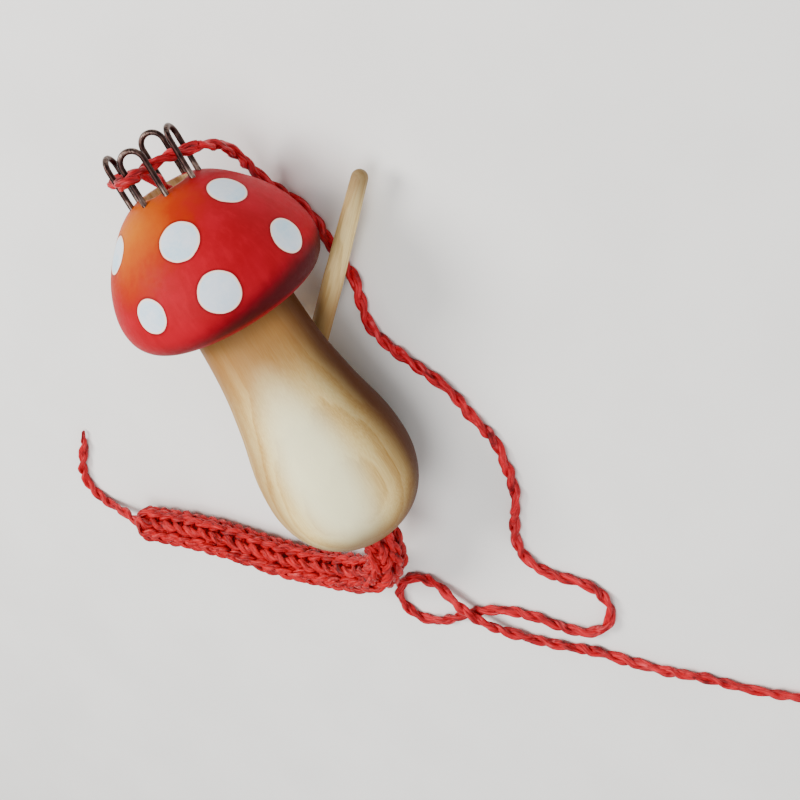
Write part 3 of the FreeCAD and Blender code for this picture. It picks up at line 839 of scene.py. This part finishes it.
def stylus_marks(k, p, x, y, z, base, broad, pores):
    loose = k.math("MULTIPLY", k.math("SUBTRACT", broad, 0.5), 6.0)
    at = k.math("ADD", z, loose)
    tip = k.span(at, 48.0, 61.0, 0.0, 0.85)
    base = k.mix(tip, base, srgb(92, 66, 44))
    butt = k.span(at, 44.0, 30.0, 0.0, 0.8)
    base = k.mix(butt, base, srgb(146, 104, 60))
    return base


def wire_look():
    k = Look("staple_bronze")
    p = k.vmath("SCALE", k.doll(), scale=1000.0)
    x, y, z = k.xyz(p)
    drawn = k.noise(k.mapped(p, scale=(1, 1, 0.18)), 4.0, 4, 0.6)
    stain = k.noise(p, 0.9, 3, 0.6)
    base = k.ramp(
        k.math("ADD", k.math("MULTIPLY", stain, 0.7), k.math("MULTIPLY", drawn, 0.3)),
        [(0.3, srgb(30, 19, 20)), (0.52, srgb(56, 39, 37)), (0.72, srgb(92, 70, 62))],
    )
    # Paler near the feet, a painted glint, and over the bends, rubbed where the stylus passes.
    glint_and_rub = k.math("MAXIMUM", k.span(z, 26.6, 24.6, 0.0, 0.65), k.span(z, 31.8, 32.9, 0.0, 0.35))
    base = k.mix(k.math("MULTIPLY", glint_and_rub, k.span(drawn, 0.35, 0.65)), base, srgb(170, 148, 136))
    k.set(Base_Color=base, Roughness=k.span(stain, 0.3, 0.7, 0.26, 0.44))
    k.set(Normal=k.bump(drawn, 0.25, 0.00005))
    k.bsdf.inputs["Metallic"].default_value = 1.0
    return k.mat


give("cap", cap_look())
CREAM = (srgb(240, 218, 152), srgb(224, 192, 122), srgb(194, 152, 84), srgb(134, 92, 44))
give("stem", wood_look("stem_wood", CREAM, (-19.0, 27.0), 0.42, marks=stem_stain_and_painted_light))
PALE = (srgb(246, 224, 164), srgb(232, 204, 142), srgb(204, 170, 108), srgb(140, 100, 56))
give("stylus", wood_look("stylus_wood", PALE, (7.0, 9.0), 0.9, stylus_place, stylus_marks))
bronze = wire_look()
for staple in ("staple_front", "staple_right", "staple_back", "staple_left"):
    give(staple, bronze)


# ------------------------------------------------------------------ studio
floor_look = Look("studio_floor")
grainy = floor_look.noise(floor_look.coord.outputs["Object"], 40, 4)
floor_look.set(
    Base_Color=floor_look.mix(floor_look.span(grainy, 0.3, 0.7, 0.0, 1.0), srgb(236, 235, 232), srgb(241, 240, 237)),
)
floor_look.bsdf.inputs["Roughness"].default_value = 0.85
mesh = bpy.data.meshes.new("studio_floor")
mesh.from_pydata([(-3, -3, 0), (3, -3, 0), (3, 3, 0), (-3, 3, 0)], [], [(0, 1, 2, 3)])
mesh.materials.append(floor_look.mat)
floor = bpy.data.objects.new("studio_floor", mesh)
scene.collection.objects.link(floor)

world = bpy.data.worlds.new("studio")
world.use_nodes = True
world.node_tree.nodes["Background"].inputs[0].default_value = (1.0, 0.99, 0.975, 1)
world.node_tree.nodes["Background"].inputs[1].default_value = 0.48
scene.world = world


def area_light(name, at, look_at, size, power, colour=(1, 1, 1)):
    data = bpy.data.lights.new(name, "AREA")
    data.shape, data.size, data.energy, data.color = "DISK", size, power, colour
    lamp = bpy.data.objects.new(name, data)
    lamp.location = at
    lamp.rotation_mode = "QUATERNION"
    lamp.rotation_quaternion = (Vector(look_at) - Vector(at)).to_track_quat("-Z", "Y")
    scene.collection.objects.link(lamp)
    return lamp


area_light("key", (-0.26, 0.30, 0.42), (0, 0, 0.01), 0.26, 4.2, (1, 0.98, 0.95))
area_light("fill", (0.40, -0.34, 0.36), (0, -0.02, 0.01), 0.6, 1.4, (0.96, 0.98, 1))
area_light("top", (0.02, -0.02, 0.62), (0, -0.02, 0), 0.45, 3.0)
